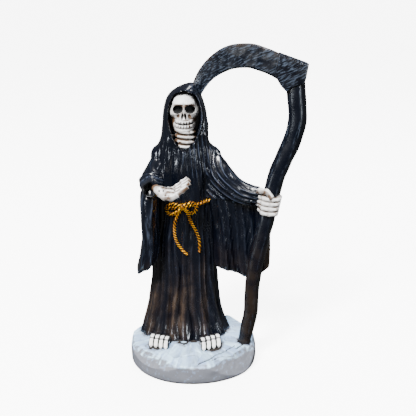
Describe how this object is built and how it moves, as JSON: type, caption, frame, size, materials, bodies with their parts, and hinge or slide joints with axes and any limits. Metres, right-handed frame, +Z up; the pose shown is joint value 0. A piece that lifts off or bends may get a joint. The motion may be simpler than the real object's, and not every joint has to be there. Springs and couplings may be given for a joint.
{
  "type": "robed skeleton statue",
  "caption": "Hand-painted cast resin statue of a robed skeleton with a scythe, on a rock base.",
  "frame": {"origin": "centre of the rock base's underside", "axes": "+Z up along the standing figure, +Y towards its back (it faces -Y), +X towards the scythe's shaft"},
  "size_m": [0.1069, 0.0745, 0.1995],
  "materials": {
    "black_paint": "gloss black paint worn to a warm brown",
    "bone_paint": "satin ivory paint with a brown wash in the hollows",
    "gold_paint": "satin gold paint",
    "stone_paint": "matt pale blue-grey paint, brushed"
  },
  "bodies": {
    "root": {"statue": "black_paint"}
  },
  "joints": []
}
